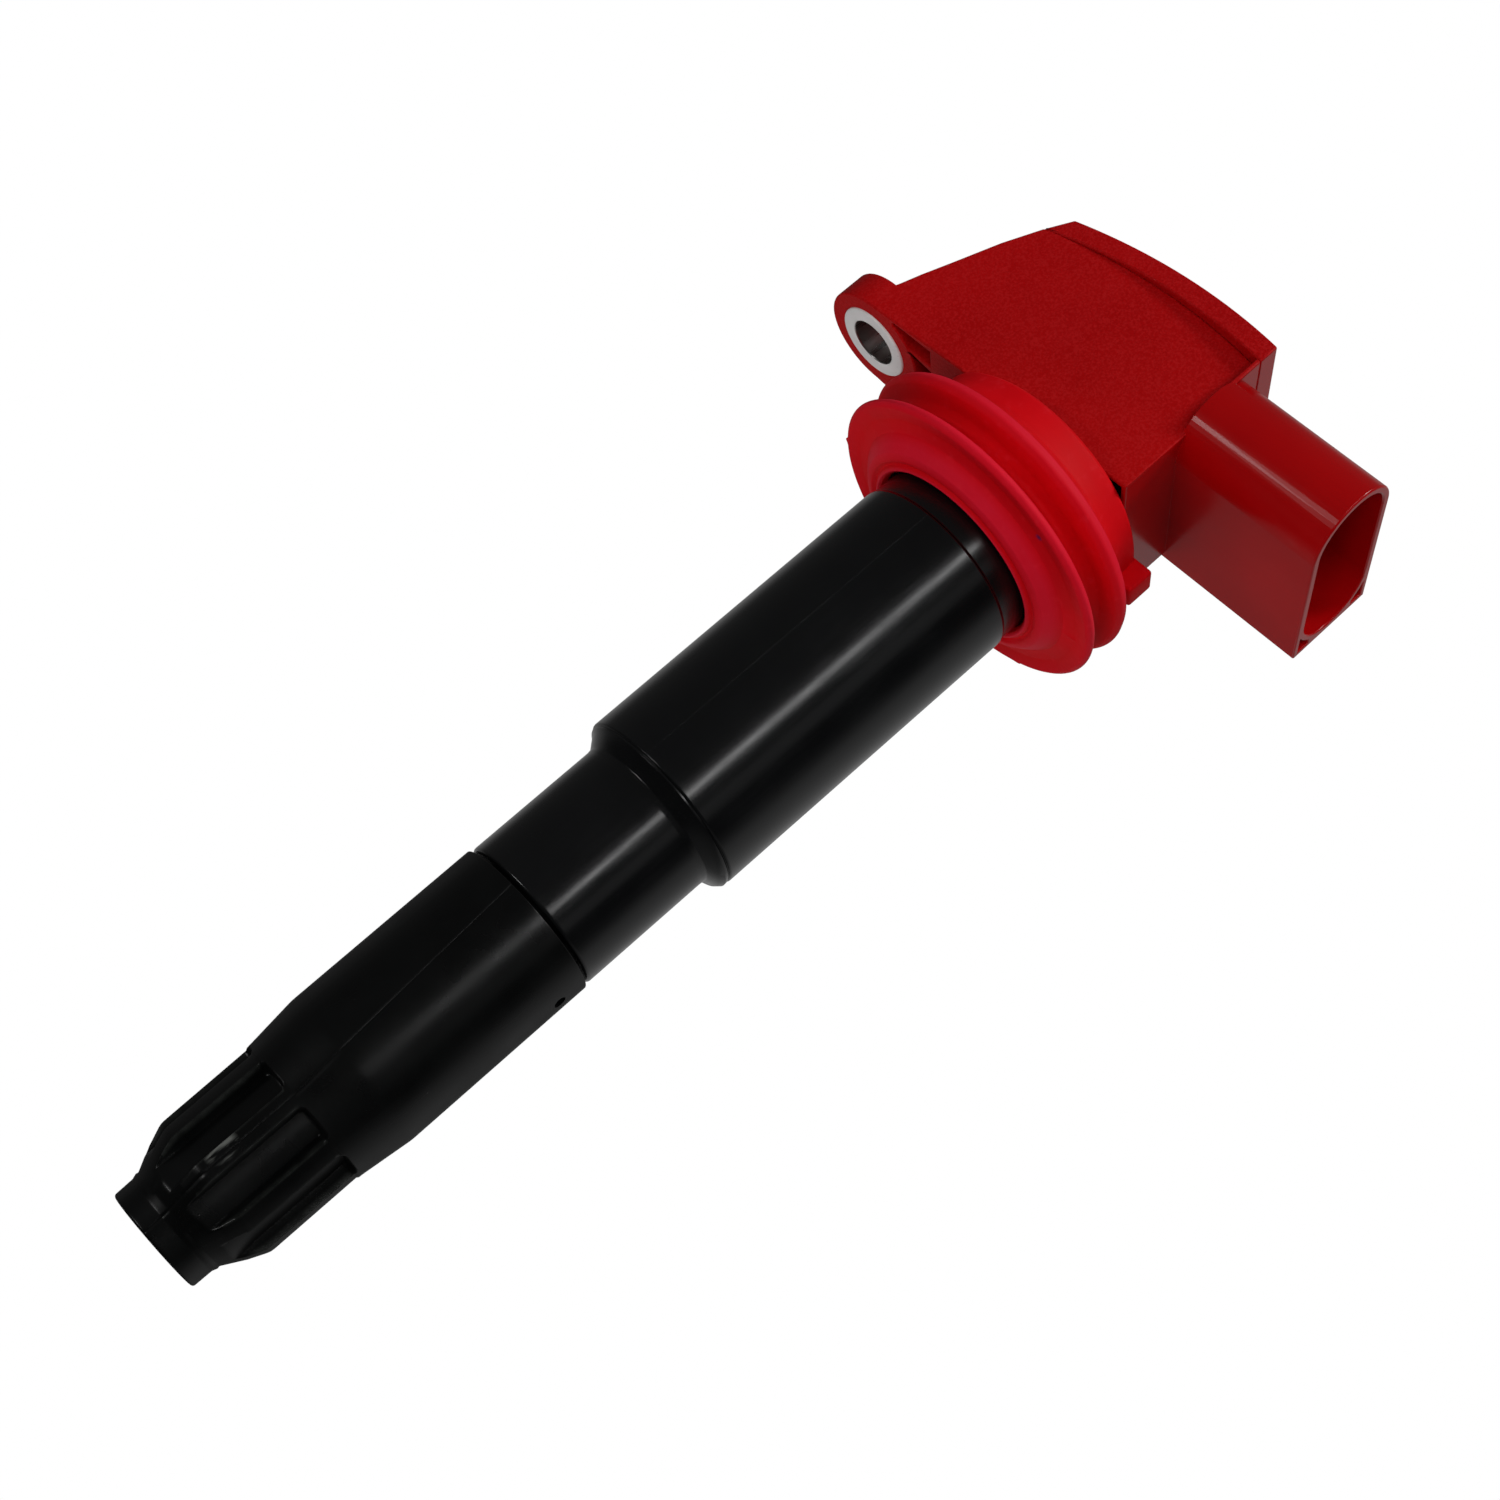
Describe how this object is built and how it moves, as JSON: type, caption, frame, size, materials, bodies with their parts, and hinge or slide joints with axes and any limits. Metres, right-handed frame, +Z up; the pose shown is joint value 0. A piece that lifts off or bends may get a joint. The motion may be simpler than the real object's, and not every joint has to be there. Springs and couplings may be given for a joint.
{
  "type": "ignition coil",
  "caption": "Coil-on-plug ignition coil with a red head, mounting ear, wide connector, lipped well seal, stepped black tube and ribbed rubber boot.",
  "frame": {"origin": "on the coil's axis, in the plane of the mounting ear's seating face", "axes": "+Z up the coil axis from plug to head, +X from the axis to the connector mouth, -Y the flat side of the head"},
  "size_m": [0.0719, 0.042, 0.1658],
  "materials": {
    "red_housing": "fine satin texture",
    "red_silicone": "soft satin",
    "black_case": "satin gloss",
    "black_rubber": "matt",
    "bush_metal": "satin",
    "spring_steel": "bright",
    "brass_plate": "bright",
    "core_steel": "dull",
    "magnet": "dull",
    "bobbin_plastic": "matt",
    "enamel_copper": "varnished",
    "board_green": "satin",
    "chip_black": "matt",
    "spreader_metal": "satin",
    "capacitor_tan": "satin",
    "resistor_body": "matt",
    "resin": "glossy",
    "pin_tin": "tin plated",
    "buffer_rubber": "matt"
  },
  "bodies": {
    "coil": {"head_housing": "red_housing", "head_cover": "red_housing", "mounting_bush": "bush_metal", "well_seal": "red_silicone", "coil_case": "black_case", "contact_spring": "spring_steel", "spring_seat": "brass_plate", "suppression_resistor": "resistor_body", "ht_terminal": "brass_plate", "center_core": "core_steel", "upper_magnet": "magnet", "lower_magnet": "magnet", "core_buffers": "buffer_rubber", "secondary_bobbin": "bobbin_plastic", "secondary_winding": "enamel_copper", "primary_bobbin": "bobbin_plastic", "primary_winding": "enamel_copper", "outer_core": "core_steel", "primary_leads": "enamel_copper", "driver_board": "board_green", "heat_spreader": "spreader_metal", "power_transistor": "chip_black", "control_chip": "chip_black", "noise_capacitor": "capacitor_tan", "hv_diode": "chip_black", "potting_resin": "resin", "terminal_pin_1": "pin_tin", "terminal_pin_2": "pin_tin", "terminal_pin_3": "pin_tin", "terminal_pin_4": "pin_tin"},
    "contact": {"plug_contact": "brass_plate"},
    "boot": {"plug_boot": "black_rubber"}
  },
  "joints": [
    {"name": "contact_press", "type": "slide", "parent": "coil", "child": "contact", "axis": [0, 0, 1], "range_m": [0, 0.005], "stiffness_N_per_m": 900, "deforming": ["contact_spring"]},
    {"name": "boot_pull", "type": "slide", "parent": "coil", "child": "boot", "axis": [0, 0, -1], "range_m": [0, 0.016]}
  ]
}
